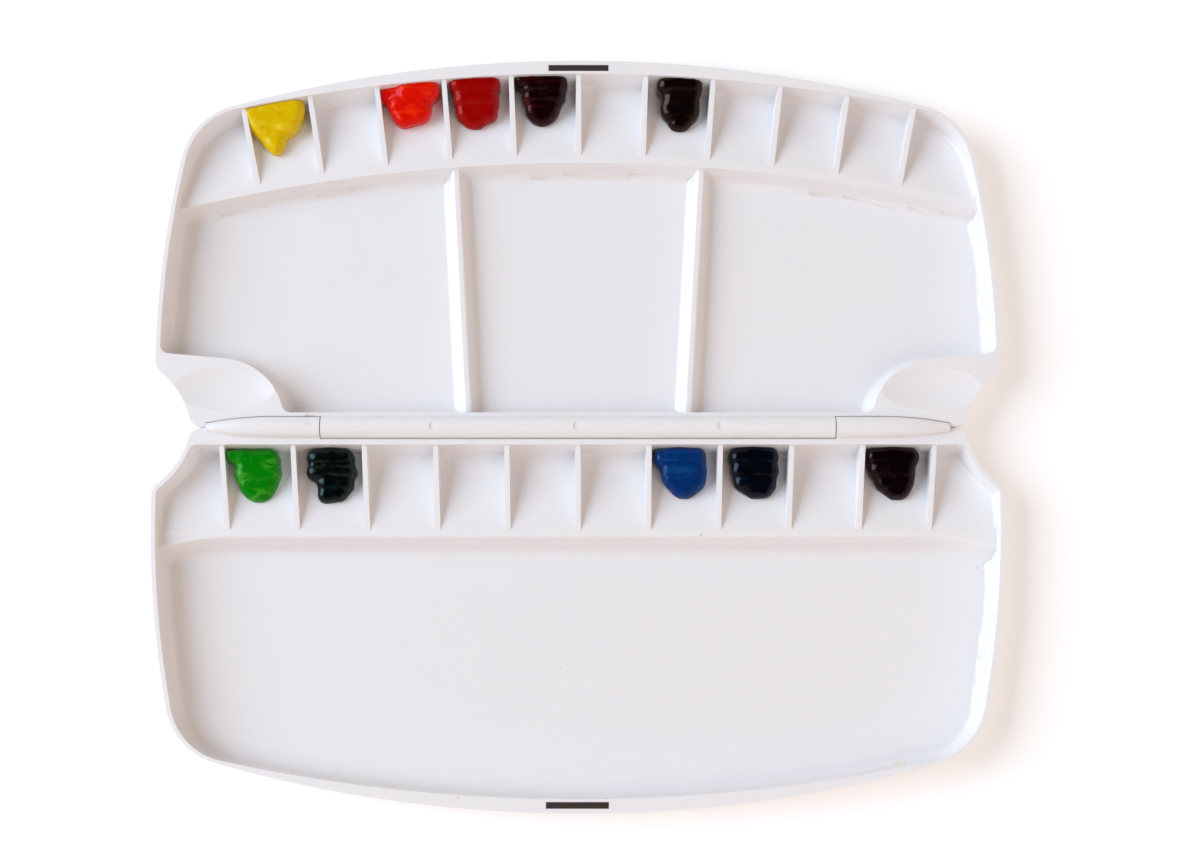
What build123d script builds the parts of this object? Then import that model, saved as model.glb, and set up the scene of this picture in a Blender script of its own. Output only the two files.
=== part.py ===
"""Folding watercolor palette: two moulded trays on a three-part hinge, with a magnet catch.

The palette lies open and flat. X runs along the hinge, Y points into the upper tray, Z is up.
The origin is on the underside, in the middle. Lengths are in millimetres, angles in degrees.
"""
from build123d import *
import math
import os

os.makedirs("parts", exist_ok=True)

UPPER = 1
LOWER = -1

# Outline of a tray in plan. Both trays are mirror images about the hinge line.
half_width = 139.0
tray_depth = 125.0
front_radius = 430.0
side_radius = 330.0
shoulder_y = 25.0
notch_radius = 29.0
notch_outset = 16.4
notch_shift = 4.0
corner_radius = 23.0
shoulder_radius = 5.0
hinge_corner_radius = 4.0
fold_gap = 0.3

# Section of a tray
rim_height = 13.0
floor_thickness = 2.0
shell_draft = 4.0
base_edge = 1.2
side_rim = 1.5
front_rim = 4.5
inner_front_radius = 540.0
inner_hinge_radius = 3.0
hinge_wall_upper = 1.2
hinge_wall_lower = 1.8
wall_draft = 8.0
floor_fillet = 2.5
mixing_corner_radius = 3.0

# Wells
well_count = 12
well_depth_step = 1.0
divider_thickness = 1.6
divider_draft = 2.5
well_fillet = 1.2
crest_height = 8.5
crest_fillet = 1.0

# Fanned wells of the upper tray
upper_well_length = 27.0
upper_crest_radius = 560.0
upper_end_well = 26.6
upper_crest_width = 2.7
upper_slope_width = 2.4

# Straight wells of the lower tray
lower_well_length = 27.6
lower_end_well = 22.4
lower_fan_distance = 1600.0
lower_crest_width = 2.3
lower_slope_width = 4.1
lower_bend_radius = 74.0
lower_bend_length = 25.0
lower_bend_turn = 30.0

# Ribs between the mixing areas
rib_x_hinge = 36.2
rib_x_ridge = 41.4
rib_height = 5.0
rib_top_width = 2.4
rib_base_width = 6.4
rib_fillet = 0.9
rib_edge_count = 4

# Thumb rests
rest_radius = 21.7
rest_inset = 21.0
rest_y = 1.5
rest_lean = 5.1
rest_draft = 9.0
dish_length = 33.0
dish_width = 14.5
dish_depth = 1.6
dish_inset = 23.0
dish_y = 13.0

# Hinge
axis_lift = 0.1
barrel_radius = 3.5
barrel_half_length = 84.0
knuckle_straight = 16.0
knuckle_nose_radius = 107.0
knuckle_nose_length = 21.2
knuckle_end_gap = 0.3
hinge_gap = 0.3
web_depth = 3.4
pin_diameter = 2.5
pin_press_length = 6.0
pin_run_length = 4.0
pin_clearance = 0.05
pin_end_clearance = 0.3
pin_chamfer = 0.3
barrel_end_length = 14.0
barrel_core_top = 1.0
mark_radius = 1.5
mark_depth = 0.35
mark_spacing = 47.0

# Magnet catch
magnet_length = 20.0
magnet_width = 2.0
magnet_height = 4.0
magnet_from_edge = 2.6
magnet_gap = 0.05

# Underside
skin = 2.0
hollow_clear = 3.0
hollow_end_height = 0.9
hollow_span = 13.0
hollow_side = 17.0
groove_width = 2.6
groove_end = 5.0

# Paint
paint_top = 9.5
paint_bevel = 1.6
paint_corner = 3.4
paint_tip = 4.4
paint_from_wall = 3.6

# Room left by tools and sections past the surfaces that they cut
section_margin = 1.0
crest_overlap = 1.0
crest_reach = 8.0
near_reach = 130.0
fan_span = 17.5
touch = 0.001
ground_touch = 0.02
smooth_angle = 20.0

# Values worked out from the ones above
axis_z = rim_height + axis_lift
wall_tan = math.tan(math.radians(wall_draft))
floor_z = floor_thickness
notch_x = half_width + notch_outset
relief_y = barrel_radius + hinge_gap
upper_inner_y = relief_y + hinge_wall_upper
lower_inner_y = relief_y + hinge_wall_lower
inner_front = tray_depth - front_rim
upper_crest_y = inner_front - upper_well_length
fan_y = upper_crest_y - upper_crest_radius
upper_deep_radius = inner_front - fan_y
wells_per_side = well_count / 2
upper_pitch = math.degrees(math.asin((half_width - upper_end_well) / upper_deep_radius)) / (
    wells_per_side - 1
)
lower_crest_y = lower_inner_y + lower_well_length
lower_pitch = (half_width - lower_end_well) / (wells_per_side - 1)
upper_middle_radius = upper_crest_radius + upper_well_length / 2
upper_half_well = upper_middle_radius * math.tan(math.radians(upper_pitch / 2))
lower_shrink = 1 - lower_well_length / 2 / (lower_fan_distance - lower_inner_y)
lower_half_well = lower_pitch * lower_shrink / 2
divider_top = rim_height - well_depth_step
knuckle_start = barrel_half_length + knuckle_end_gap
rest_x = half_width - rest_inset


def mirrored(y, side):
    """Y on the chosen tray: the upper one lies at +Y and the lower one at -Y."""
    return y * side


def tray_plan(side, inset, hinge_y, front_y, arc_radius, hinge_radius):
    """Plan of a tray at the rim, as a sketch of discs cut by the notch discs."""
    with BuildSketch() as plan:
        with Locations((0, mirrored(front_y - arc_radius, side))):
            Circle(arc_radius)
        for end in (1, -1):
            centre = Vector(end * (half_width - side_radius), mirrored(shoulder_y, side))
            with Locations(Location(centre, (0, 0, 90 + 90 * end))):
                Circle(side_radius - inset, mode=Mode.INTERSECT)
        with Locations((0, mirrored(hinge_y + tray_depth, side))):
            Rectangle(4 * half_width, 2 * tray_depth, mode=Mode.INTERSECT)
        for end in (1, -1):
            with Locations((end * notch_x, mirrored(-notch_shift, side))):
                Circle(notch_radius + inset, mode=Mode.SUBTRACT)
        outward = Axis((0, 0, 0), (0, side, 0))
        fillet(plan.vertices().group_by(outward)[-1], radius=corner_radius - inset)
        fillet(plan.vertices().group_by(outward)[1], radius=shoulder_radius - inset)
        fillet(plan.vertices().group_by(outward)[0], radius=hinge_radius)
    return plan.sketch


def outer_plan(side):
    """Outside of the shell at the rim."""
    return tray_plan(side, 0, fold_gap, tray_depth, front_radius, hinge_corner_radius)


def inner_plan(side):
    """Inside of the shell at the rim."""
    hinge_y = upper_inner_y if side == UPPER else lower_inner_y
    return tray_plan(
        side, side_rim, hinge_y, inner_front, inner_front_radius, inner_hinge_radius
    )


def drawn_in(plan, depth, draft):
    """A plan taken down from the rim by a depth, and drawn in on the way as a mould needs."""
    upside_down = extrude(plan, amount=depth, taper=draft)
    return mirror(upside_down, about=Plane.XY.offset(rim_height / 2))


def level_edges(part, height):
    """Edges that lie wholly at one height."""
    boxes = [(edge, edge.bounding_box()) for edge in part.edges()]
    low = height - touch
    high = height + touch
    return ShapeList([edge for edge, box in boxes if box.min.Z > low and box.max.Z < high])


def upper_distance(point):
    """Distance of a point from the ridge of the upper tray, out towards the wells' deep ends."""
    return math.hypot(point.X, point.Y - fan_y) - upper_crest_radius


def lower_distance(point):
    """The same distance in the lower tray."""
    return lower_crest_y + point.Y


def ridge_sections(crest_width, slope_width, well_length):
    """Three sections as (distance from the ridge, height) points.

    They are the ground of the mixing side, the ground of the wells and the space over the
    dividers' tops.
    """
    fall = (crest_height - floor_z) / (well_length - (rim_height - floor_z) * wall_tan)
    rise = (divider_top - crest_height) / well_length
    steep = slope_width / (crest_height - floor_z)
    far = well_length + section_margin
    top = rim_height + section_margin
    base = -section_margin
    foot = -crest_width - steep * (crest_height - base)
    mixing = [
        (foot, base),
        (-crest_width, crest_height),
        (0, crest_height),
        (0, top),
        (far, top),
        (far, base),
    ]
    wells = [
        (-near_reach, base),
        (-near_reach, top),
        (-crest_overlap, top),
        (-crest_overlap, crest_height),
        (0, crest_height),
        (far, crest_height - fall * far),
        (far, base),
    ]
    tops = [
        (-crest_reach, crest_height),
        (0, crest_height),
        (far, crest_height + rise * far),
        (far, top),
        (-crest_reach, top),
    ]
    return mixing, wells, tops, fall


upper_mixing_section, upper_well_section, upper_top_section, upper_fall = ridge_sections(
    upper_crest_width, upper_slope_width, upper_well_length
)
_, lower_well_section, lower_top_section, lower_fall = ridge_sections(
    lower_crest_width, lower_slope_width, lower_well_length
)

fan_axis = Axis((0, fan_y, 0), (0, 0, 1))


def fanned(points, span=fan_span, rounded=False):
    """A section swung about the centre of the upper tray's fan, to an equal angle each way."""
    turn = math.radians(span)
    start = Plane(
        origin=(0, fan_y, 0),
        x_dir=(math.sin(turn), math.cos(turn), 0),
        z_dir=(math.cos(turn), -math.sin(turn), 0),
    )
    with BuildPart() as swung:
        with BuildSketch(start) as section:
            with BuildLine():
                Polyline([(upper_crest_radius + u, z) for u, z in points], close=True)
            make_face()
            if rounded:
                crest = start.from_local_coords(
                    Vector(upper_crest_radius - upper_crest_width, crest_height, 0)
                )
                fillet(section.vertices().sort_by_distance(crest)[0], radius=crest_fillet)
        revolve(axis=fan_axis, revolution_arc=2 * span)
    return swung.part


def straight(points, reach=2 * half_width):
    """A section of the lower tray, drawn along the hinge to an equal length each way."""
    with BuildPart() as drawn:
        with BuildSketch(Plane.YZ):
            with BuildLine():
                Polyline([(u - lower_crest_y, z) for u, z in points], close=True)
            make_face()
        extrude(amount=reach, both=True)
    return drawn.part


with BuildPart() as divider_plate:
    with BuildSketch(Plane.XZ):
        flare = math.tan(math.radians(divider_draft))
        top_half = divider_thickness / 2 - section_margin * flare
        base_half = divider_thickness / 2 + (divider_top + section_margin) * flare
        with BuildLine():
            Polyline(
                (-base_half, -section_margin),
                (base_half, -section_margin),
                (top_half, divider_top + section_margin),
                (-top_half, divider_top + section_margin),
                close=True,
            )
        make_face()
    extrude(amount=upper_well_length, both=True)


def upper_divider(step):
    """Place of a divider of the upper tray, counted from the middle one."""
    turn = math.radians(step * upper_pitch)
    place = (
        upper_middle_radius * math.sin(turn),
        fan_y + upper_middle_radius * math.cos(turn),
        0,
    )
    return Location(place, (0, 0, -step * upper_pitch))


def lower_divider(step):
    """Place of a divider of the lower tray."""
    reach = lower_fan_distance - lower_inner_y
    turn = math.atan(step * lower_pitch / reach)
    place = (step * lower_pitch * lower_shrink, -(lower_inner_y + lower_well_length / 2), 0)
    return Location(place, (0, 0, -math.degrees(turn)))


divider_steps = range(1 - well_count // 2, well_count // 2)


def ground_edges(part, distance, fall, nearest):
    """Edges round the sloping ground of the wells, further than a distance from the ridge."""
    chosen = []
    for edge in part.edges():
        spots = [edge @ 0, edge @ 0.5, edge @ 1]
        heights = [crest_height - fall * distance(spot) for spot in spots]
        on_ground = all(abs(p.Z - z) < ground_touch for p, z in zip(spots, heights))
        if on_ground and distance(spots[1]) > nearest:
            chosen.append(edge)
    return ShapeList(chosen)


# The ground of the wells, with all that lies on the mixing side
upper_ground = fanned(upper_well_section)
lower_ground = straight(lower_well_section)

# The room inside the rims, down to the base and down to the floor
upper_room = drawn_in(inner_plan(UPPER), rim_height, wall_draft)
lower_room = drawn_in(inner_plan(LOWER), rim_height, wall_draft)
upper_floor_room = drawn_in(inner_plan(UPPER), rim_height - floor_z, wall_draft)
lower_floor_room = drawn_in(inner_plan(LOWER), rim_height - floor_z, wall_draft)

# The space in the upper tray's wells
with BuildPart() as upper_wells:
    add(upper_room)
    add(upper_ground, mode=Mode.SUBTRACT)
    with Locations(*[upper_divider(step) for step in divider_steps]):
        add(divider_plate.part, mode=Mode.SUBTRACT)
    fillet(
        ground_edges(upper_wells, upper_distance, upper_fall, upper_well_length / 2),
        radius=well_fillet,
    )

# The space in the lower tray's wells
with BuildPart() as lower_wells:
    add(lower_room)
    add(lower_ground, mode=Mode.SUBTRACT)
    with Locations(*[lower_divider(step) for step in divider_steps]):
        add(divider_plate.part, mode=Mode.SUBTRACT)
    fillet(
        ground_edges(lower_wells, lower_distance, lower_fall, lower_well_length / 2),
        radius=well_fillet,
    )

# The space over the dividers' tops
with BuildPart() as upper_tops:
    add(upper_room)
    add(fanned(upper_top_section), mode=Mode.INTERSECT)

with BuildPart() as lower_tops:
    add(lower_room)
    add(straight(lower_top_section), mode=Mode.INTERSECT)


def rest_plan(height, grow):
    """Plan of the right thumb rest, open towards the corner of the tray."""
    radius = rest_radius + grow
    lean = math.radians(rest_lean)
    with BuildSketch(Plane.XY.offset(height)) as plan:
        with BuildLine():
            rise = Line((rest_x - radius, -tray_depth), (rest_x - radius, rest_y))
            arc = CenterArc((rest_x, rest_y), radius, 180, -(90 - rest_lean))
            run = 2 * rest_radius
            far = arc @ 1 + Vector(run * math.cos(lean), run * math.sin(lean))
            Polyline(arc @ 1, far, (far.X, -tray_depth), rise @ 0)
        make_face()
    return plan.sketch


# Block under the thumb rests, which stand level with the rim
rest_tan = math.tan(math.radians(rest_draft))
with BuildPart() as rest_block:
    loft(
        [
            rest_plan(-section_margin, (rim_height + section_margin) * rest_tan),
            rest_plan(rim_height + section_margin, -section_margin * rest_tan),
        ],
        ruled=True,
    )
    mirror(about=Plane.YZ)

# Tapered rib between two mixing areas, on the right
rib_lean = math.atan((rib_x_ridge - rib_x_hinge) / (upper_crest_y - upper_inner_y))
rib_slope = (rib_base_width - rib_top_width) / 2 / rib_height
rib_plane = Plane(
    origin=(rib_x_hinge, upper_inner_y, 0),
    x_dir=(math.cos(rib_lean), -math.sin(rib_lean), 0),
    z_dir=(-math.sin(rib_lean), -math.cos(rib_lean), 0),
)
rib_top = floor_z + rib_height
with BuildPart() as rib_block:
    with BuildSketch(rib_plane):
        low_half = rib_base_width / 2 + rib_slope * (floor_z + section_margin)
        with BuildLine():
            Polyline(
                (-low_half, -section_margin),
                (low_half, -section_margin),
                (rib_top_width / 2, rib_top),
                (-rib_top_width / 2, rib_top),
                close=True,
            )
        make_face()
    extrude(amount=tray_depth, both=True)
    mirror(about=Plane.YZ)


def upright_edges(part, low, high):
    """Sharp edges that climb from one height to another."""
    chosen = []
    for edge in part.edges():
        box = edge.bounding_box()
        if abs(box.min.Z - low) < touch and box.max.Z > high - crest_fillet:
            faces = [face for face in part.faces() if edge in face.edges()]
            normals = [face.normal_at(edge @ 0.5) for face in faces]
            if len(normals) == 2 and normals[0].get_angle(normals[1]) > smooth_angle:
                chosen.append(edge)
    return ShapeList(chosen)


# The space in the three mixing areas of the upper tray
with BuildPart() as upper_mixing:
    add(upper_floor_room)
    add(fanned(upper_mixing_section, rounded=True), mode=Mode.SUBTRACT)
    add(rest_block.part, mode=Mode.SUBTRACT)
    add(rib_block.part, mode=Mode.SUBTRACT)
    rib_lines = level_edges(upper_mixing, rib_top).sort_by(SortBy.LENGTH)[-rib_edge_count:]
    fillet(rib_lines, radius=rib_fillet)
    fillet(upright_edges(upper_mixing, floor_z, rim_height), radius=mixing_corner_radius)
    fillet(level_edges(upper_mixing, floor_z), radius=floor_fillet)


def lower_ridge_plan(height, ridge_y):
    """Plan of the mixing side of the lower tray: straight, then bent away from the hinge."""
    bend_x = half_width - lower_bend_length
    centre_y = -(lower_crest_y + lower_bend_radius)
    radius = lower_bend_radius - (ridge_y - lower_crest_y)
    with BuildSketch(Plane.XY.offset(height)) as plan:
        with BuildLine():
            right = CenterArc((bend_x, centre_y), radius, 90, -lower_bend_turn)
            left = CenterArc((-bend_x, centre_y), radius, 90, lower_bend_turn)
            Line(left @ 0, right @ 0)
            far_y = -2 * tray_depth
            Polyline(right @ 1, ((right @ 1).X, far_y), ((left @ 1).X, far_y), left @ 1)
        make_face()
    return plan.sketch


# The space in the mixing area of the lower tray
lower_steep = lower_slope_width / (crest_height - floor_z)
lower_top_y = lower_crest_y + lower_crest_width
lower_foot_y = lower_top_y + lower_steep * (crest_height + section_margin)
with BuildPart() as lower_side:
    loft(
        [
            lower_ridge_plan(-section_margin, lower_foot_y),
            lower_ridge_plan(crest_height, lower_top_y),
        ],
        ruled=True,
    )
    extrude(
        lower_ridge_plan(crest_height, lower_crest_y),
        amount=rim_height + section_margin - crest_height,
    )
    crest_lines = [
        edge
        for edge in level_edges(lower_side, crest_height)
        if -lower_top_y - lower_bend_length < (edge @ 0.5).Y < touch - lower_top_y
    ]
    fillet(crest_lines, radius=crest_fillet)

with BuildPart() as lower_mixing:
    add(lower_floor_room)
    add(lower_side.part, mode=Mode.INTERSECT)
    fillet(level_edges(lower_mixing, floor_z), radius=floor_fillet)


# Hinge
def nose_angle(grow):
    """Turn of the knuckle's nose from its straight part to its tip."""
    return math.degrees(math.asin((knuckle_nose_length + grow) / (knuckle_nose_radius + grow)))


def knuckle_profile(start, grow, base):
    """Half section of the hinge line: straight, then drawn in to a blunt nose."""
    straight_end = knuckle_start + knuckle_straight
    radius = knuckle_nose_radius + grow
    nose = CenterArc(
        (straight_end, base + barrel_radius - knuckle_nose_radius), radius, 90, -nose_angle(grow)
    )
    Polyline(nose @ 0, (start, base + barrel_radius + grow), (start, base), ((nose @ 1).X, base), nose @ 1)


# Recess that the hinge line takes out of both trays
with BuildPart() as hinge_recess:
    with BuildSketch():
        with BuildLine():
            knuckle_profile(0, hinge_gap, 0)
        make_face()
        mirror(about=Plane.XZ)
        mirror(about=Plane.YZ)
    extrude(amount=rim_height)

# Right end knuckle with the web that joins it to the lower tray
with BuildPart() as knuckle:
    with BuildSketch(Plane.XZ):
        with BuildLine():
            knuckle_profile(knuckle_start, 0, axis_z)
        make_face()
    revolve(axis=Axis((0, 0, axis_z), (1, 0, 0)))
    with BuildSketch(Plane.XY.offset(rim_height)):
        with BuildLine():
            knuckle_profile(knuckle_start, hinge_gap, 0)
        make_face()
        mirror(about=Plane.XZ)
        with Locations((half_width, tray_depth / 2)):
            Rectangle(2 * half_width, tray_depth, mode=Mode.SUBTRACT)
    extrude(amount=-web_depth)
    with BuildSketch(Plane.YZ.offset(knuckle_start)):
        with Locations((0, axis_z)):
            Circle(pin_diameter / 2)
    extrude(amount=pin_press_length, mode=Mode.SUBTRACT)

# Central barrel with the web that joins it to the upper tray, cored out from below, with the
# flat round marks of the mould's ejectors on top
with BuildPart() as barrel:
    with BuildSketch(Plane.YZ.offset(-barrel_half_length)):
        with Locations((0, axis_z)):
            Circle(barrel_radius)
        with Locations((0, rim_height)):
            Rectangle(relief_y, web_depth, align=(Align.MIN, Align.MAX))
    extrude(amount=2 * barrel_half_length)
    with BuildSketch(Plane.XY):
        Rectangle(2 * (barrel_half_length - barrel_end_length), groove_width)
    extrude(amount=axis_z + barrel_core_top, mode=Mode.SUBTRACT)
    with BuildSketch(Plane.XY.offset(axis_z + barrel_radius - mark_depth)):
        with Locations((-mark_spacing, 0), (0, 0), (mark_spacing, 0)):
            Circle(mark_radius)
    extrude(amount=barrel_radius, mode=Mode.SUBTRACT)
    bore_depth = pin_run_length - knuckle_end_gap + pin_end_clearance
    for end in (1, -1):
        with BuildSketch(Plane.YZ.offset(end * (barrel_half_length - bore_depth / 2))):
            with Locations((0, axis_z)):
                Circle(pin_diameter / 2 + pin_clearance)
        extrude(amount=bore_depth / 2, both=True, mode=Mode.SUBTRACT)

# Underside: even walls leave hollows below the wells, the ribs and the thumb rests
def hollow_section(crest_width, slope_width, fall):
    """Section of the hollow below a ridge and its wells."""
    steep = slope_width / (crest_height - floor_z)
    top = crest_height - skin
    wall = skin * math.sqrt(1 + steep * steep)
    end = (top - hollow_end_height) / fall
    return [
        (wall - crest_width - steep * (crest_height + section_margin), -section_margin),
        (wall - crest_width - steep * skin, top),
        (0, top),
        (end, hollow_end_height),
        (end, -section_margin),
    ]


upper_hollow = fanned(
    hollow_section(upper_crest_width, upper_slope_width, upper_fall), span=hollow_span
)
lower_hollow = straight(
    hollow_section(lower_crest_width, lower_slope_width, lower_fall),
    reach=half_width - hollow_side,
)

with BuildPart() as rib_groove:
    groove_length = upper_crest_y - upper_inner_y - 2 * groove_end
    with BuildSketch(rib_plane.offset(-groove_end)):
        with BuildLine():
            Polyline(
                (-groove_width / 2, 0),
                (groove_width / 2, 0),
                (groove_width / 4, rib_top - skin),
                (-groove_width / 4, rib_top - skin),
                close=True,
            )
        make_face()
    extrude(amount=-groove_length)
    mirror(about=Plane.YZ)

with BuildPart() as rest_hollow:
    with BuildSketch():
        add(rest_plan(0, rim_height * rest_tan - skin))
        add(
            tray_plan(
                UPPER,
                hollow_clear,
                relief_y + skin,
                tray_depth,
                front_radius,
                mixing_corner_radius,
            ),
            mode=Mode.INTERSECT,
        )
    extrude(amount=rim_height - dish_depth - skin)
    mirror(about=Plane.YZ)

# Dish in a thumb rest: the inside of a ring that rolls in over it
dish_long_radius = (dish_length**2 / 4 + dish_depth**2) / (2 * dish_depth)
dish_cross_radius = (dish_width**2 / 4 + dish_depth**2) / (2 * dish_depth)
with BuildPart() as dish:
    with Locations(Rotation(90, 0, 0)):
        Torus(dish_long_radius - dish_cross_radius, dish_cross_radius)
dish_places = [
    (end * (half_width - dish_inset), dish_y, rim_height + dish_long_radius - dish_depth)
    for end in (1, -1)
]


def magnet_place(side):
    return (0, mirrored(tray_depth - magnet_from_edge, side), rim_height)


# Upper tray
upper_shell = drawn_in(outer_plan(UPPER), rim_height, shell_draft)
with BuildPart() as upper_tray:
    add(upper_shell)
    chamfer(level_edges(upper_tray, 0), length=base_edge)
    add(hinge_recess.part, mode=Mode.SUBTRACT)
    add(upper_wells.part, mode=Mode.SUBTRACT)
    add(upper_tops.part, mode=Mode.SUBTRACT)
    add(upper_mixing.part, mode=Mode.SUBTRACT)
    add(upper_hollow, mode=Mode.SUBTRACT)
    add(rib_groove.part, mode=Mode.SUBTRACT)
    add(rest_hollow.part, mode=Mode.SUBTRACT)
    with Locations(*dish_places):
        add(dish.part, mode=Mode.SUBTRACT)
    with Locations(magnet_place(UPPER)):
        Box(
            magnet_length + 2 * magnet_gap,
            magnet_width + 2 * magnet_gap,
            2 * magnet_height,
            mode=Mode.SUBTRACT,
        )
    add(barrel.part)

# Lower tray
lower_shell = drawn_in(outer_plan(LOWER), rim_height, shell_draft)
with BuildPart() as lower_tray:
    add(lower_shell)
    chamfer(level_edges(lower_tray, 0), length=base_edge)
    add(hinge_recess.part, mode=Mode.SUBTRACT)
    add(lower_wells.part, mode=Mode.SUBTRACT)
    add(lower_tops.part, mode=Mode.SUBTRACT)
    add(lower_mixing.part, mode=Mode.SUBTRACT)
    add(lower_hollow, mode=Mode.SUBTRACT)
    with Locations(magnet_place(LOWER)):
        Box(
            magnet_length + 2 * magnet_gap,
            magnet_width + 2 * magnet_gap,
            2 * magnet_height,
            mode=Mode.SUBTRACT,
        )
    add(knuckle.part)
    add(mirror(knuckle.part, about=Plane.YZ))

# Magnets, a hair below the rims
magnets = {}
for name, side in (("magnet_upper", UPPER), ("magnet_lower", LOWER)):
    with BuildPart() as magnet:
        with Locations(magnet_place(side)):
            Box(
                magnet_length,
                magnet_width,
                magnet_height - magnet_gap,
                align=(Align.CENTER, Align.CENTER, Align.MAX),
            )
    magnet.part.label = name
    magnets[name] = magnet.part.moved(Location((0, 0, -magnet_gap)))

# Hinge pins
pins = {}
for name, end in (("hinge_pin_right", 1), ("hinge_pin_left", -1)):
    with BuildPart() as pin:
        with BuildSketch(Plane.YZ.offset(end * (knuckle_start + pin_press_length))):
            with Locations((0, axis_z)):
                Circle(pin_diameter / 2)
        extrude(amount=-end * (pin_press_length + pin_run_length))
        chamfer(pin.edges(), length=pin_chamfer)
    pins[name] = pin.part

# Paint squeezed into the wells: name, tray, well, gap to the divider on the left and on the
# right, and length. A well is named by the middle between its two dividers, counted from the
# middle divider.
paint_dabs = (
    ("paint_yellow", UPPER, -4.5, 1.7, 1.7, 17.0),
    ("paint_orange", UPPER, -2.5, 1.7, 1.9, 14.5),
    ("paint_red", UPPER, -1.5, 1.7, 2.3, 15.8),
    ("paint_maroon", UPPER, -0.5, 1.7, 1.7, 15.6),
    ("paint_brown", UPPER, 1.5, 2.3, 2.1, 16.2),
    ("paint_green", LOWER, -4.5, 1.7, 3.2, 15.6),
    ("paint_black_green", LOWER, -3.5, 2.5, 2.2, 15.8),
    ("paint_blue", LOWER, 1.5, 1.7, 3.5, 14.6),
    ("paint_dark_blue", LOWER, 2.5, 2.3, 2.3, 14.8),
    ("paint_violet", LOWER, 4.5, 1.7, 3.1, 15.0),
)
paints = {}
for name, side, well, left_gap, right_gap, length in paint_dabs:
    place = upper_divider(well) if side == UPPER else lower_divider(well)
    ground = upper_ground if side == UPPER else lower_ground
    half_well = upper_half_well if side == UPPER else lower_half_well
    well_length = upper_well_length if side == UPPER else lower_well_length
    wall = half_well - divider_thickness / 2 - paint_corner
    deep = well_length / 2 - paint_from_wall
    left = left_gap - wall
    right = wall - right_gap
    with BuildPart() as dab:
        with BuildSketch():
            with Locations((left, deep - paint_corner), (right, deep - paint_corner)):
                Circle(paint_corner)
            with Locations(((left + right) / 2, deep - length + paint_tip)):
                Circle(paint_tip)
            make_hull()
        extrude(amount=paint_top)
        chamfer(dab.faces().sort_by(Axis.Z)[-1].edges(), length=paint_bevel)
    with BuildPart() as dab_in_well:
        add(place * dab.part)
        add(ground, mode=Mode.SUBTRACT)
    paints[name] = dab_in_well.part

pieces = {"upper_tray": upper_tray.part, "lower_tray": lower_tray.part}
pieces.update(magnets)
pieces.update(pins)
pieces.update(paints)
for name, piece in pieces.items():
    piece.label = name
    print(name, len(piece.solids()), round(piece.volume, 2))
    export_step(piece, "parts/" + name + ".step")
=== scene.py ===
"""Looks of the folding watercolor palette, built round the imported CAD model.

The CAD model is the frame: X runs along the hinge, Y points into the upper tray, Z is up.
Objects are in metres. Names that end in _MM hold millimetres.
"""

import math

import bmesh
import bpy
import numpy as np
import openvdb as vdb
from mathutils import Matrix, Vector, bvhtree, noise


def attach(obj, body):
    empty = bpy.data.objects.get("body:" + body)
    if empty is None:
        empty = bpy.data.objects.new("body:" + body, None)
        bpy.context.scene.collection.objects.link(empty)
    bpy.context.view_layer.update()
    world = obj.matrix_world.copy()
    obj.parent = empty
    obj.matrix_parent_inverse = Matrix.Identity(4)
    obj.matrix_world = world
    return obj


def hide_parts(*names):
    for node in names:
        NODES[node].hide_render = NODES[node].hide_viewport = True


bl_info = {
    "name": "Folding watercolor palette",
    "version": (1, 0, 0),
    "blender": (4, 5, 0),
    "location": "3D View > Sidebar > Palette",
    "description": "Dresses the folding watercolor palette in plastic, ferrite and paint",
    "category": "Object",
}

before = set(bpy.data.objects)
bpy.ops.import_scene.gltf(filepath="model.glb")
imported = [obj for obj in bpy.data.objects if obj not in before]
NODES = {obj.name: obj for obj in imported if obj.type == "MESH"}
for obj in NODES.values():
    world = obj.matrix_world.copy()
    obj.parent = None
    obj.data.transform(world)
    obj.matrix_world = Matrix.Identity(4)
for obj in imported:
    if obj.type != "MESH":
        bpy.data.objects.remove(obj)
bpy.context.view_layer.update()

MM = 0.001

# Photograph's camera, worked out from the outline and the magnets
RIM_MM = 13.0
CAMERA_DISTANCE_MM = 850.0
CAMERA_TILT = math.radians(10.0)
CAMERA_AIM_MM = (7.2, -1.5, RIM_MM)
CAMERA_LENS_MM = 78.0
CAMERA_SENSOR_MM = 36.0

# Squeezed paint: cell of its field, room left round the beads, a distance beyond any dab, the
# height that rays look down from, the reach of a bead's own top height, the gap to the plastic,
# the height from which the skin is free to wrinkle, and the widths of its folds and creases
CELL_MM = 0.3
FIELD_MARGIN_MM = 2.0
FAR_MM = 2 * RIM_MM
LOOK_DOWN_MM = 2 * RIM_MM
TOP_REACH_MM = 1.4
SEAT_MM = 0.03
FREE_MM = 0.35
FOLD_MM = 3.4
CREASE_MM = 1.3
CREASE_SHARE = 0.4

# Share of the speck cells that hold a speck, and how strongly a speck shows
SPECK_RARITY = 0.06
SPECK_STRENGTH = 0.45

# Room light near the horizon and overhead, as shares of its setting, and the sines of the
# heights between which it falls off
AIR_LOW = 1.1
AIR_OVERHEAD = 0.08
AIR_FALL = (0.45, 0.88)

# The floor's own glow, and how far it lies below the palette
FLOOR_GLOW = 0.25
FLOOR_DROP_MM = 0.1

# Lamps: name, place and size in metres, power in watts, colour, and whether it leaves glints
LAMPS = (
    ("window", (-2.3, 0.4, 1.75), 2.4, 93.0, "#d9ecff", True),
    ("room", (0.7, -0.7, 1.5), 1.6, 13.0, "#fff0e8", False),
)

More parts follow.
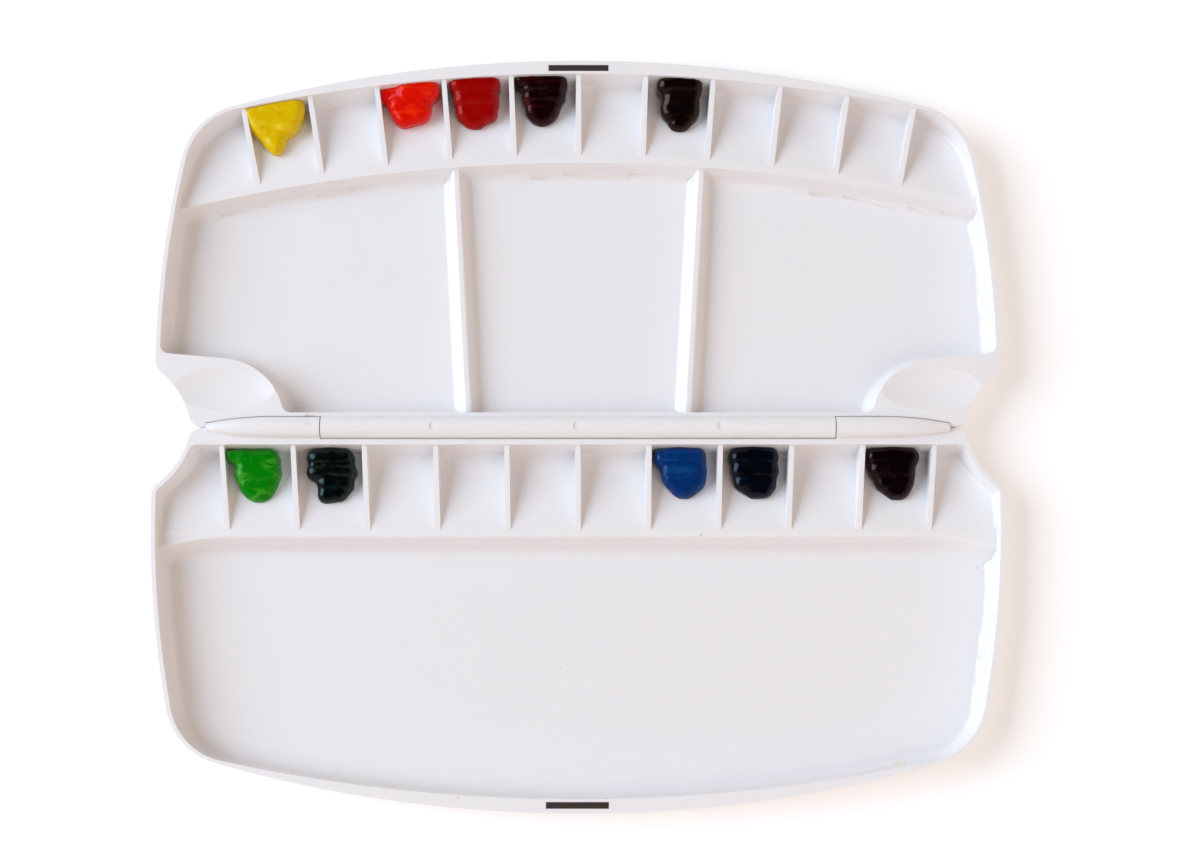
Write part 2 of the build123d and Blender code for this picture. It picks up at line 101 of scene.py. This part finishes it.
# Stains and dried specks: x, y and radius in millimetres, strength, colour
STAINS = (
    (103.4, -108.5, 1.3, 0.5, "#e8cf78"),
    (105.3, -108.8, 0.8, 0.4, "#e8cf78"),
    (131.0, -44.8, 0.45, 0.8, "#dcae4a"),
    (40.2, -34.8, 0.4, 0.85, "#8c5a50"),
    (6.2, -120.0, 0.35, 0.6, "#8a7468"),
    (9.1, -120.2, 0.4, 0.7, "#7a6458"),
    (10.4, -120.2, 0.35, 0.7, "#7a6458"),
    (-88.7, 3.8, 1.3, 0.5, "#a08a78"),
    (-87.1, 3.7, 0.9, 0.5, "#a08a78"),
    (-88.1, 0.8, 1.6, 0.16, "#b09a88"),
    (-38.1, -120.1, 0.5, 0.45, "#9a8f86"),
    (-39.1, -26.1, 0.25, 0.6, "#7a6a60"),
    (4.6, -39.1, 0.25, 0.5, "#8a7468"),
)


def linear(hex_colour):
    """An sRGB hex colour as linear red, green and blue."""
    parts = [int(hex_colour[i : i + 2], 16) / 255 for i in (1, 3, 5)]
    return tuple(c / 12.92 if c <= 0.04045 else ((c + 0.055) / 1.055) ** 2.4 for c in parts)


# Paint in the wells: node, body, colour of the mass, colour where it thins out, reach of the
# blend between its beads, and the beads. A bead is the height of its top, then its knots as
# (x, y, radius), all in millimetres in the CAD model's frame.
PAINTS = (
    (
        "yellow",
        "upper",
        "#dcb800",
        "#f2dc44",
        2.6,
        (
            (12.0, ((-109.4, 107.5, 3.5), (-102.0, 108.9, 4.4), (-96.3, 109.3, 4.4))),
            (11.0, ((-106.4, 104.7, 4.6), (-98.4, 104.7, 4.7))),
            (10.2, ((-102.8, 101.3, 4.9), (-101.8, 97.9, 3.2), (-101.2, 95.1, 1.1))),
        ),
    ),
    (
        "orange",
        "upper",
        "#da0c00",
        "#f43c0a",
        2.4,
        (
            (10.0, ((-65.3, 114.8, 2.8), (-62.4, 115.7, 3.1))),
            (12.0, ((-59.0, 116.1, 3.5), (-54.0, 116.5, 3.8), (-50.4, 116.2, 3.7))),
            (11.0, ((-60.6, 111.1, 3.7), (-54.0, 111.5, 4.0))),
            (10.0, ((-58.4, 107.3, 3.9), (-53.5, 108.5, 3.7))),
        ),
    ),
    (
        "red",
        "upper",
        "#960000",
        "#bc0a06",
        1.9,
        (
            (12.2, ((-40.5, 117.7, 3.2), (-35.0, 118.1, 3.5), (-30.0, 118.0, 3.6))),
            (11.6, ((-38.6, 112.7, 3.6), (-30.4, 112.7, 3.7))),
            (10.2, ((-37.6, 108.4, 3.7), (-30.8, 108.5, 3.6))),
            (9.4, ((-35.6, 106.1, 3.1), (-34.4, 105.9, 3.0))),
        ),
    ),
    (
        "maroon",
        "upper",
        "#0c0001",
        "#560a10",
        1.9,
        (
            (11.6, ((-19.7, 119.3, 2.6), (-16.0, 119.1, 3.1), (-7.4, 118.7, 3.6))),
            (11.6, ((-15.5, 113.7, 3.8), (-8.4, 114.3, 4.0))),
            (10.0, ((-13.8, 109.4, 4.1), (-10.7, 109.7, 4.3))),
            (9.2, ((-12.6, 107.1, 3.1), (-11.8, 107.1, 3.0))),
        ),
    ),
    (
        "brown",
        "upper",
        "#050101",
        "#2a120c",
        1.8,
        (
            (12.2, ((29.8, 117.3, 3.6), (34.0, 117.8, 3.7), (37.9, 117.3, 3.8))),
            (10.8, ((31.8, 112.5, 3.6), (37.0, 112.7, 3.8))),
            (10.2, ((31.6, 109.2, 4.1), (36.4, 108.9, 4.2))),
            (9.2, ((33.4, 105.4, 3.4), (34.4, 105.4, 3.4))),
        ),
    ),
    (
        "green",
        "lower",
        "#007a04",
        "#58b030",
        1.9,
        (
            (10.8, ((-114.2, -8.6, 2.1), (-109.5, -9.6, 3.0), (-101.7, -9.7, 3.5))),
            (10.4, ((-108.6, -14.2, 4.0), (-101.7, -13.9, 4.2))),
            (9.6, ((-107.2, -17.8, 4.1), (-103.0, -17.8, 4.3))),
            (8.8, ((-105.4, -20.3, 3.6), (-104.0, -20.3, 3.6))),
        ),
    ),
    (
        "black_green",
        "lower",
        "#000303",
        "#102625",
        1.7,
        (
            (11.0, ((-85.8, -9.3, 3.2), (-81.0, -8.9, 3.3), (-76.7, -9.3, 3.2))),
            (10.6, ((-86.0, -13.9, 3.1), (-75.8, -13.7, 3.2))),
            (9.8, ((-82.4, -17.7, 3.2), (-76.5, -18.1, 3.1))),
            (9.0, ((-82.4, -21.3, 3.1), (-78.6, -20.8, 3.0))),
        ),
    ),
    (
        "blue",
        "lower",
        "#002c68",
        "#0a5a92",
        2.3,
        (
            (11.0, ((27.7, -9.3, 3.2), (33.0, -9.1, 3.5), (38.8, -9.1, 3.3))),
            (10.4, ((30.7, -13.6, 3.6), (38.4, -13.3, 3.8))),
            (9.6, ((31.7, -16.4, 3.6), (38.0, -16.6, 3.9))),
            (8.8, ((34.2, -19.2, 3.5), (35.2, -19.2, 3.5))),
        ),
    ),
    (
        "dark_blue",
        "lower",
        "#000208",
        "#101c30",
        1.6,
        (
            (11.2, ((52.8, -9.0, 3.5), (57.5, -8.6, 3.7), (62.3, -9.0, 3.6))),
            (10.6, ((53.6, -13.5, 3.6), (62.2, -13.7, 3.7))),
            (9.8, ((54.5, -17.1, 3.6), (61.4, -17.5, 3.7))),
            (9.0, ((57.6, -19.6, 3.1), (60.6, -19.4, 3.2))),
        ),
    ),
    (
        "violet",
        "lower",
        "#030001",
        "#2c1018",
        1.9,
        (
            (11.2, ((97.4, -9.1, 3.4), (103.0, -8.8, 3.6), (108.5, -9.1, 3.5))),
            (10.6, ((98.8, -13.3, 3.6), (107.0, -13.7, 3.7))),
            (9.6, ((100.9, -17.1, 3.6), (106.4, -17.3, 3.8))),
            (8.8, ((103.8, -19.8, 3.3), (105.2, -19.8, 3.3))),
        ),
    ),
)


# Nodes of a material
def add_node(tree, kind, settings=None, inputs=None):
    """Adds a node, sets its properties and fills or links its inputs."""
    node = tree.nodes.new(kind)
    for key, value in (settings or {}).items():
        setattr(node, key, value)
    for key, value in (inputs or {}).items():
        if isinstance(value, bpy.types.NodeSocket):
            tree.links.new(value, node.inputs[key])
        else:
            node.inputs[key].default_value = value
    return node


def new_material(name):
    """A material with an empty node tree and its output."""
    material = bpy.data.materials.new(name)
    material.use_nodes = True
    material.node_tree.nodes.clear()
    output = material.node_tree.nodes.new("ShaderNodeOutputMaterial")
    return material, material.node_tree, output


def rgba(colour):
    """A colour with full alpha."""
    return (*colour, 1.0)


def rest_coordinates(tree):
    """Place in the CAD model's frame at rest, in metres, the same at every pose."""
    return add_node(tree, "ShaderNodeTexCoord").outputs["Object"]


def stains_over(tree, place, colour, settings):
    """Lays the stains over a colour, with ragged edges, and gives the result."""
    level = add_node(tree, "ShaderNodeMapping", {}, {"Vector": place, "Scale": (1.0, 1.0, 0.0)})
    ragged = add_node(
        tree, "ShaderNodeTexNoise", {}, {"Vector": place, "Scale": 1 / settings.stain_edge}
    )
    wander = add_node(
        tree,
        "ShaderNodeVectorMath",
        {"operation": "MULTIPLY_ADD"},
        {0: ragged.outputs["Color"], 1: [settings.stain_edge] * 3, 2: level.outputs[0]},
    )
    middle = settings.stain_edge / 2
    for x, y, radius, strength, stain in STAINS:
        away = add_node(
            tree,
            "ShaderNodeVectorMath",
            {"operation": "DISTANCE"},
            {0: wander.outputs[0], 1: (x * MM + middle, y * MM + middle, middle)},
        )
        share = add_node(
            tree,
            "ShaderNodeMapRange",
            {},
            {"Value": away.outputs["Value"], "From Max": radius * MM, "To Min": strength, "To Max": 0.0},
        )
        over = add_node(
            tree,
            "ShaderNodeMix",
            {"data_type": "RGBA"},
            {6: colour, 7: rgba(linear(stain)), 0: share.outputs[0]},
        )
        colour = over.outputs[2]
    return colour


def moulded_polystyrene(settings):
    """High-impact polystyrene, injection moulded in a polished tool.

    It gives a glossy, slightly milky white, faint flow waves in the wide floors, and the small
    specks of dust and dried paint that a used palette collects.
    """
    material, tree, output = new_material("moulded_polystyrene")
    place = rest_coordinates(tree)
    waves = add_node(
        tree,
        "ShaderNodeTexNoise",
        {},
        {"Vector": place, "Scale": 1 / settings.flow_wave, "Detail": 2.0},
    )
    specks = add_node(
        tree,
        "ShaderNodeTexVoronoi",
        {"feature": "F1"},
        {"Vector": place, "Scale": 1 / settings.speck_spacing, "Randomness": 1.0},
    )
    dot = add_node(
        tree,
        "ShaderNodeMath",
        {"operation": "LESS_THAN"},
        {0: specks.outputs["Distance"], 1: settings.speck_size / settings.speck_spacing},
    )
    rarity = add_node(tree, "ShaderNodeSeparateColor", {}, {"Color": specks.outputs["Color"]})
    rare = add_node(
        tree,
        "ShaderNodeMath",
        {"operation": "LESS_THAN"},
        {0: rarity.outputs["Red"], 1: SPECK_RARITY},
    )
    speck = add_node(
        tree,
        "ShaderNodeMath",
        {"operation": "MULTIPLY"},
        {0: dot.outputs[0], 1: rare.outputs[0]},
    )
    faint = add_node(
        tree,
        "ShaderNodeMath",
        {"operation": "MULTIPLY"},
        {0: speck.outputs[0], 1: SPECK_STRENGTH},
    )
    tone = add_node(
        tree,
        "ShaderNodeMix",
        {"data_type": "RGBA"},
        {6: rgba(settings.white), 7: rgba(settings.grime), 0: faint.outputs[0]},
    )
    stained = stains_over(tree, place, tone.outputs[2], settings)
    ripple = add_node(
        tree,
        "ShaderNodeBump",
        {},
        {"Strength": 0.12, "Distance": 0.0004, "Height": waves.outputs[0]},
    )
    shader = add_node(
        tree,
        "ShaderNodeBsdfPrincipled",
        {},
        {
            "Base Color": stained,
            "Roughness": 0.28,
            "IOR": 1.53,
            "Subsurface Weight": 0.15,
            "Subsurface Radius": (0.0012, 0.0010, 0.0009),
            "Subsurface Scale": 1.0,
            "Normal": ripple.outputs["Normal"],
        },
    )
    tree.links.new(shader.outputs["BSDF"], output.inputs["Surface"])
    return material


def sintered_ferrite(settings):
    """Strontium ferrite, pressed and sintered. Dull, near black with a brown cast and fine grit."""
    material, tree, output = new_material("sintered_ferrite")
    place = rest_coordinates(tree)
    grit = add_node(
        tree,
        "ShaderNodeTexNoise",
        {},
        {"Vector": place, "Scale": 1 / settings.grit, "Detail": 4.0, "Roughness": 0.7},
    )
    tone = add_node(
        tree,
        "ShaderNodeMix",
        {"data_type": "RGBA"},
        {6: rgba(linear("#1a1412")), 7: rgba(settings.dark), 0: grit.outputs[0]},
    )
    bump = add_node(
        tree,
        "ShaderNodeBump",
        {},
        {"Strength": 0.5, "Distance": 0.0001, "Height": grit.outputs[0]},
    )
    shader = add_node(
        tree,
        "ShaderNodeBsdfPrincipled",
        {},
        {
            "Base Color": tone.outputs[2],
            "Roughness": 0.55,
            "Normal": bump.outputs["Normal"],
        },
    )
    tree.links.new(shader.outputs["BSDF"], output.inputs["Surface"])
    return material


def drawn_steel():
    """Carbon steel wire, drawn. Bright, with fine lines along the pin."""
    material, tree, output = new_material("drawn_steel")
    place = rest_coordinates(tree)
    stretch = add_node(
        tree, "ShaderNodeMapping", {}, {"Vector": place, "Scale": (40.0, 4000.0, 4000.0)}
    )
    lines = add_node(
        tree, "ShaderNodeTexNoise", {}, {"Vector": stretch.outputs[0], "Scale": 1.0}
    )
    bump = add_node(
        tree,
        "ShaderNodeBump",
        {},
        {"Strength": 0.3, "Distance": 0.00002, "Height": lines.outputs[0]},
    )
    shader = add_node(
        tree,
        "ShaderNodeBsdfPrincipled",
        {},
        {
            "Base Color": rgba(linear("#b9b9b7")),
            "Metallic": 1.0,
            "Roughness": 0.3,
            "Normal": bump.outputs["Normal"],
        },
    )
    tree.links.new(shader.outputs["BSDF"], output.inputs["Surface"])
    return material


def tube_paint(name, mass, thin, settings):
    """Gum arabic watercolor, squeezed from the tube and skinned over.

    It gives a deep wet gloss that takes on some of the pigment's colour, lighter drawn-out
    streaks where the pigment is worked thin, and the fine pull lines that the tube's mouth leaves.
    """
    material, tree, output = new_material("tube_paint_" + name)
    place = rest_coordinates(tree)
    stretch = add_node(
        tree, "ShaderNodeMapping", {}, {"Vector": place, "Scale": (0.5, 1.4, 1.0)}
    )
    swirl = add_node(
        tree,
        "ShaderNodeTexNoise",
        {},
        {"Vector": stretch.outputs[0], "Scale": 1 / settings.swirl, "Detail": 4.0, "Distortion": 1.2},
    )
    share = add_node(
        tree,
        "ShaderNodeMapRange",
        {},
        {"Value": swirl.outputs[0], "From Min": 0.52, "From Max": 0.8, "To Max": 0.7},
    )
    tone = add_node(
        tree,
        "ShaderNodeMix",
        {"data_type": "RGBA"},
        {6: rgba(linear(mass)), 7: rgba(linear(thin)), 0: share.outputs[0]},
    )
    pulls = add_node(
        tree,
        "ShaderNodeTexNoise",
        {},
        {"Vector": stretch.outputs[0], "Scale": 1 / settings.pull_line, "Detail": 3.0},
    )
    bump = add_node(
        tree,
        "ShaderNodeBump",
        {},
        {"Strength": 0.4, "Distance": 0.00008, "Height": pulls.outputs[0]},
    )
    pigment = linear(thin)
    gloss = [1 - settings.gloss_tint * (1 - part / max(pigment)) for part in pigment]
    shader = add_node(
        tree,
        "ShaderNodeBsdfPrincipled",
        {},
        {
            "Base Color": tone.outputs[2],
            "Roughness": 0.22,
            "IOR": 1.4,
            "Specular Tint": rgba(gloss),
            "Normal": bump.outputs["Normal"],
        },
    )
    tree.links.new(shader.outputs["BSDF"], output.inputs["Surface"])
    return material


def studio_air(world, settings):
    """Even warm room light that is dark overhead, so that wet paint stays deep in colour."""
    world.use_nodes = True
    tree = world.node_tree
    tree.nodes.clear()
    output = tree.nodes.new("ShaderNodeOutputWorld")
    direction = add_node(tree, "ShaderNodeTexCoord")
    parts = add_node(tree, "ShaderNodeSeparateXYZ", {}, {"Vector": direction.outputs["Generated"]})
    strength = add_node(
        tree,
        "ShaderNodeMapRange",
        {"interpolation_type": "SMOOTHSTEP"},
        {
            "Value": parts.outputs["Z"],
            "From Min": AIR_FALL[0],
            "From Max": AIR_FALL[1],
            "To Min": AIR_LOW * settings.air,
            "To Max": AIR_OVERHEAD * settings.air,
        },
    )
    air = add_node(
        tree,
        "ShaderNodeBackground",
        {},
        {"Color": rgba(linear("#ffe7d7")), "Strength": strength.outputs["Result"]},
    )
    tree.links.new(air.outputs[0], output.inputs["Surface"])


def studio_floor(colour):
    """Matt paper sweep. The camera sees it as white, and it keeps the palette's shadow."""
    material, tree, output = new_material("paper_sweep")
    paper = add_node(tree, "ShaderNodeBsdfDiffuse", {}, {"Color": rgba(colour)})
    glow = add_node(
        tree, "ShaderNodeEmission", {}, {"Color": (1, 1, 1, 1), "Strength": FLOOR_GLOW}
    )
    both = add_node(tree, "ShaderNodeAddShader")
    tree.links.new(paper.outputs[0], both.inputs[0])
    tree.links.new(glow.outputs[0], both.inputs[1])
    rays = add_node(tree, "ShaderNodeLightPath")
    seen = add_node(
        tree,
        "ShaderNodeMath",
        {"operation": "MAXIMUM"},
        {0: rays.outputs["Is Camera Ray"], 1: rays.outputs["Is Glossy Ray"]},
    )
    seen_all = add_node(
        tree,
        "ShaderNodeMath",
        {"operation": "MAXIMUM"},
        {0: seen.outputs[0], 1: rays.outputs["Is Transmission Ray"]},
    )
    mix = add_node(tree, "ShaderNodeMixShader", {}, {0: seen_all.outputs[0]})
    tree.links.new(paper.outputs[0], mix.inputs[1])
    tree.links.new(both.outputs[0], mix.inputs[2])
    tree.links.new(mix.outputs[0], output.inputs["Surface"])
    return material


def lay_floor(scene, settings):
    """Lays the square paper floor just below the palette."""
    mesh = bpy.data.meshes.new("floor")
    half = settings.floor_size / 2
    corners = [(-half, -half, 0), (half, -half, 0), (half, half, 0), (-half, half, 0)]
    mesh.from_pydata(corners, [], [(0, 1, 2, 3)])
    mesh.materials.append(studio_floor(settings.floor_colour))
    floor = bpy.data.objects.new("floor", mesh)
    floor.location.z = -FLOOR_DROP_MM * MM
    scene.collection.objects.link(floor)


def hang_lamps(scene):
    """Hangs the soft square lamps and turns them to the palette."""
    for name, place, size, watts, colour, glints in LAMPS:
        light = bpy.data.lights.new(name, "AREA")
        light.shape = "SQUARE"
        light.size = size
        light.energy = watts
        light.color = linear(colour)
        lamp = bpy.data.objects.new(name, light)
        lamp.location = place
        lamp.rotation_euler = (-Vector(place)).to_track_quat("-Z", "Y").to_euler()
        lamp.visible_glossy = glints
        scene.collection.objects.link(lamp)


def place_camera(scene):
    """Places the camera where the photograph was taken from."""
    camera = bpy.data.cameras.new("camera")
    camera.lens = CAMERA_LENS_MM
    camera.sensor_width = CAMERA_SENSOR_MM
    eye = bpy.data.objects.new("camera", camera)
    back = Vector((0, -math.sin(CAMERA_TILT), math.cos(CAMERA_TILT)))
    eye.location = (Vector(CAMERA_AIM_MM) + back * CAMERA_DISTANCE_MM) * MM
    eye.rotation_euler = (CAMERA_TILT, 0, 0)
    scene.collection.objects.link(eye)
    scene.camera = eye


def dress(node_name, material):
    """Gives a CAD node its material."""
    mesh = NODES[node_name].data
    mesh.materials.clear()
    mesh.materials.append(material)


# Squeezed paint
def axis_steps(low, high):
    """Places of a field's cells along one axis, in millimetres."""
    return np.arange(low, high, CELL_MM)


def ground_heights(tree, xs, ys):
    """Heights of the plastic below a grid of places, in millimetres, looking down from above.

    Where there is no plastic the ground counts as high, so that no paint stands there.
    """
    heights = np.zeros((len(xs), len(ys)))
    down = Vector((0, 0, -1))
    for i, x in enumerate(xs):
        for j, y in enumerate(ys):
            hit = tree.ray_cast(Vector((x * MM, y * MM, LOOK_DOWN_MM * MM)), down)[0]
            heights[i, j] = hit.z / MM if hit else LOOK_DOWN_MM
    return heights


def plan_distance(xs, ys, start, end):
    """Distance in plan to a piece of a bead, and the bead's radius beside each place."""
    along = np.array([end[0] - start[0], end[1] - start[1]])
    across_x = xs[:, None] - start[0]
    across_y = ys[None, :] - start[1]
    share = np.clip((across_x * along[0] + across_y * along[1]) / (along @ along), 0, 1)
    distance = np.hypot(across_x - share * along[0], across_y - share * along[1])
    return distance, start[2] + share * (end[2] - start[2])


def blend(first, second, reach):
    """The lesser of two fields, run together where they are closer than a reach."""
    share = np.maximum(reach - np.abs(first - second), 0) / reach
    return np.minimum(first, second) - share * share * reach / 4


def field_axes(beads):
    """Places of a field's cells along X, Y and Z, with room round the beads."""
    knots = [knot for _, line in beads for knot in line]
    margin = FIELD_MARGIN_MM
    xs = axis_steps(
        min(x - r for x, _, r in knots) - margin, max(x + r for x, _, r in knots) + margin
    )
    ys = axis_steps(
        min(y - r for _, y, r in knots) - margin, max(y + r for _, y, r in knots) + margin
    )
    return xs, ys, axis_steps(0, RIM_MM + margin)


def outline_and_crown(xs, ys, beads, reach, settings):
    """Distance in plan to the run-together beads, and the height of the top at each place."""
    outline = np.full((len(xs), len(ys)), FAR_MM)
    ridge = np.zeros(outline.shape)
    summed = np.zeros(outline.shape)
    weights = np.zeros(outline.shape)
    for top, line in beads:
        for start, end in zip(line, line[1:]):
            distance, radius = plan_distance(xs, ys, start, end)
            outline = blend(outline, distance - radius, reach)
            ridge = np.maximum(ridge, 1 - (distance / radius) ** 2)
            weight = np.exp(-distance / TOP_REACH_MM)
            summed += weight * top
            weights += weight
    return outline, summed / weights + ridge * settings.ridge / MM


def wrinkle_skin(mesh, xs, ys, clearance, settings):
    """Folds and creases the skin of a dab wherever it is clear of the plastic."""
    bm = bmesh.new()
    bm.from_mesh(mesh)
    bmesh.ops.recalc_face_normals(bm, faces=bm.faces)
    for vertex in bm.verts:
        x, y, z = vertex.co / MM
        i = min(int((x - xs[0]) / CELL_MM + 0.5), len(xs) - 1)
        j = min(int((y - ys[0]) / CELL_MM + 0.5), len(ys) - 1)
        if clearance(i, j, z) > FREE_MM:
            fold = noise.noise(vertex.co / (FOLD_MM * MM))
            crease = noise.noise(vertex.co / (CREASE_MM * MM))
            vertex.co += vertex.normal * (fold + CREASE_SHARE * crease) * settings.wrinkle
    bm.to_mesh(mesh)
    bm.free()


def squeeze(name, reach, beads, tray, settings):
    """Lays the beads of one colour in their well and runs them into one closed mesh."""
    xs, ys, zs = field_axes(beads)
    tree = bvhtree.BVHTree.FromObject(NODES[tray], bpy.context.evaluated_depsgraph_get())
    plastic = ground_heights(tree, xs, ys)
    outline, crown = outline_and_crown(xs, ys, beads, reach, settings)

    # Rounded shoulders between the outline and the top
    shoulder = settings.shoulder / MM
    side = outline[:, :, None] + shoulder
    cap = zs[None, None, :] - crown[:, :, None] + shoulder
    outside = np.hypot(np.maximum(side, 0), np.maximum(cap, 0))
    field = outside + np.minimum(np.maximum(side, cap), 0) - shoulder

    # Seat on the plastic
    rise_x, rise_y = np.gradient(plastic, CELL_MM)
    steepness = np.sqrt(1 + rise_x**2 + rise_y**2)
    above = (zs[None, None, :] - plastic[:, :, None]) / steepness[:, :, None]
    field = np.maximum(field, SEAT_MM - above)

    # Skin of the field
    grid = vdb.FloatGrid(FIELD_MARGIN_MM)
    grid.copyFromArray(field.astype(np.float32))
    places, faces = grid.convertToQuads(0.0)
    places = places * CELL_MM + np.array([xs[0], ys[0], zs[0]])
    mesh = bpy.data.meshes.new("dab_" + name)
    mesh.from_pydata((places * MM).tolist(), [], faces.tolist())
    wrinkle_skin(mesh, xs, ys, lambda i, j, z: (z - plastic[i, j]) / steepness[i, j], settings)
    mesh.shade_smooth()
    dab = bpy.data.objects.new("dab_" + name, mesh)
    bpy.context.scene.collection.objects.link(dab)
    return dab


class PlasticSettings(bpy.types.PropertyGroup):
    """White plastic of the trays."""

    white: bpy.props.FloatVectorProperty(
        name="White",
        description="Colour of the moulded plastic",
        subtype="COLOR",
        size=3,
        min=0.0,
        max=1.0,
        default=linear("#efeeef"),
    )
    grime: bpy.props.FloatVectorProperty(
        name="Grime",
        description="Colour of dust and dried paint",
        subtype="COLOR",
        size=3,
        min=0.0,
        max=1.0,
        default=linear("#8a7b6c"),
    )
    flow_wave: bpy.props.FloatProperty(
        name="Flow wave",
        description="Length of the faint waves that the melt leaves",
        unit="LENGTH",
        default=9 * MM,
    )
    speck_spacing: bpy.props.FloatProperty(
        name="Speck spacing",
        description="Size of the cells that may hold one speck",
        unit="LENGTH",
        default=6 * MM,
    )
    speck_size: bpy.props.FloatProperty(
        name="Speck size",
        description="Radius of a speck",
        unit="LENGTH",
        default=0.22 * MM,
    )
    stain_edge: bpy.props.FloatProperty(
        name="Stain edge",
        description="Size of the rags at the edge of a stain",
        unit="LENGTH",
        default=0.6 * MM,
    )


class MagnetSettings(bpy.types.PropertyGroup):
    """Ferrite of the magnets."""

    dark: bpy.props.FloatVectorProperty(
        name="Ferrite",
        description="Lighter colour of the ferrite's grit",
        subtype="COLOR",
        size=3,
        min=0.0,
        max=1.0,
        default=linear("#42332d"),
    )
    grit: bpy.props.FloatProperty(
        name="Grit",
        description="Size of the grains as drawn, coarser than the real ones so that they show",
        unit="LENGTH",
        default=0.4 * MM,
    )


class PaintSettings(bpy.types.PropertyGroup):
    """Paint in the wells."""

    shoulder: bpy.props.FloatProperty(
        name="Shoulder",
        description="Radius from the side of a dab to its top",
        unit="LENGTH",
        default=3.0 * MM,
    )
    ridge: bpy.props.FloatProperty(
        name="Ridge",
        description="Height of the low ridge that each bead leaves on top",
        unit="LENGTH",
        default=0.14 * MM,
    )
    wrinkle: bpy.props.FloatProperty(
        name="Wrinkle",
        description="Height of the folds in the skin of the paint",
        unit="LENGTH",
        default=0.22 * MM,
    )
    gloss_tint: bpy.props.FloatProperty(
        name="Gloss tint",
        description="Share of the pigment's colour in the gloss of its skin",
        subtype="FACTOR",
        min=0.0,
        max=1.0,
        default=0.5,
    )
    swirl: bpy.props.FloatProperty(
        name="Swirl",
        description="Width of the lighter streaks",
        unit="LENGTH",
        default=5 * MM,
    )
    pull_line: bpy.props.FloatProperty(
        name="Pull lines",
        description="Spacing of the lines that the tube's mouth leaves",
        unit="LENGTH",
        default=1.6 * MM,
    )


class StageSettings(bpy.types.PropertyGroup):
    """Floor and light."""

    floor_size: bpy.props.FloatProperty(
        name="Floor size",
        description="Side of the floor",
        unit="LENGTH",
        default=12.0,
    )
    floor_colour: bpy.props.FloatVectorProperty(
        name="Floor colour",
        description="Colour of the paper floor",
        subtype="COLOR",
        size=3,
        min=0.0,
        max=1.0,
        default=linear("#f0f0f0"),
    )
    air: bpy.props.FloatProperty(
        name="Room light",
        description="Strength of the light that comes from all round",
        min=0.0,
        max=2.0,
        default=0.61,
    )


class PALETTE_OT_trays(bpy.types.Operator):
    """Gives both trays their moulded white plastic"""

    bl_idname = "palette.trays"
    bl_label = "Dress the trays"

    def execute(self, context):
        plastic = moulded_polystyrene(context.scene.palette_plastic)
        for name in ("upper_tray", "lower_tray"):
            dress(name, plastic)
        return {"FINISHED"}


class PALETTE_OT_catch_and_hinge(bpy.types.Operator):
    """Gives the magnets their ferrite and the hinge pins their steel"""

    bl_idname = "palette.catch_and_hinge"
    bl_label = "Dress magnets and pins"

    def execute(self, context):
        ferrite = sintered_ferrite(context.scene.palette_magnet)
        steel = drawn_steel()
        for name in ("magnet_upper", "magnet_lower"):
            dress(name, ferrite)
        for name in ("hinge_pin_left", "hinge_pin_right"):
            dress(name, steel)
        return {"FINISHED"}


class PALETTE_OT_paint(bpy.types.Operator):
    """Squeezes the dabs of paint into their wells"""

    bl_idname = "palette.paint"
    bl_label = "Squeeze the paint"

    def execute(self, context):
        settings = context.scene.palette_paint
        for name, body, mass, thin, reach, beads in PAINTS:
            dab = squeeze(name, reach, beads, body + "_tray", settings)
            dab.data.materials.append(tube_paint(name, mass, thin, settings))
            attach(dab, body)
            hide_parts("paint_" + name)
        return {"FINISHED"}


class PALETTE_OT_stage(bpy.types.Operator):
    """Sets up the floor, the lights and the camera"""

    bl_idname = "palette.stage"
    bl_label = "Set the stage"

    def execute(self, context):
        settings = context.scene.palette_stage
        lay_floor(context.scene, settings)
        world = bpy.data.worlds.new("studio")
        context.scene.world = world
        studio_air(world, settings)
        hang_lamps(context.scene)
        place_camera(context.scene)
        context.scene.view_settings.view_transform = "Standard"
        return {"FINISHED"}


class PALETTE_PT_panel(bpy.types.Panel):
    """Lists the steps that dress the palette"""

    bl_idname = "PALETTE_PT_panel"
    bl_label = "Watercolor palette"
    bl_space_type = "VIEW_3D"
    bl_region_type = "UI"
    bl_category = "Palette"

    def draw(self, context):
        for step in STEPS:
            self.layout.operator(step.bl_idname)


STEPS = (PALETTE_OT_trays, PALETTE_OT_catch_and_hinge, PALETTE_OT_paint, PALETTE_OT_stage)
GROUPS = {
    "palette_plastic": PlasticSettings,
    "palette_magnet": MagnetSettings,
    "palette_paint": PaintSettings,
    "palette_stage": StageSettings,
}


def register():
    """Adds the settings, the steps and the panel."""
    for name, group in GROUPS.items():
        bpy.utils.register_class(group)
        setattr(bpy.types.Scene, name, bpy.props.PointerProperty(type=group))
    for cls in (*STEPS, PALETTE_PT_panel):
        bpy.utils.register_class(cls)


def unregister():
    """Takes away what register adds."""
    for cls in (*STEPS, PALETTE_PT_panel):
        bpy.utils.unregister_class(cls)
    for name, group in GROUPS.items():
        delattr(bpy.types.Scene, name)
        bpy.utils.unregister_class(group)


def main():
    """Dresses the palette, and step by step."""
    register()
    bpy.ops.palette.trays()
    bpy.ops.palette.catch_and_hinge()
    bpy.ops.palette.paint()
    bpy.ops.palette.stage()


if __name__ == "__main__":
    main()
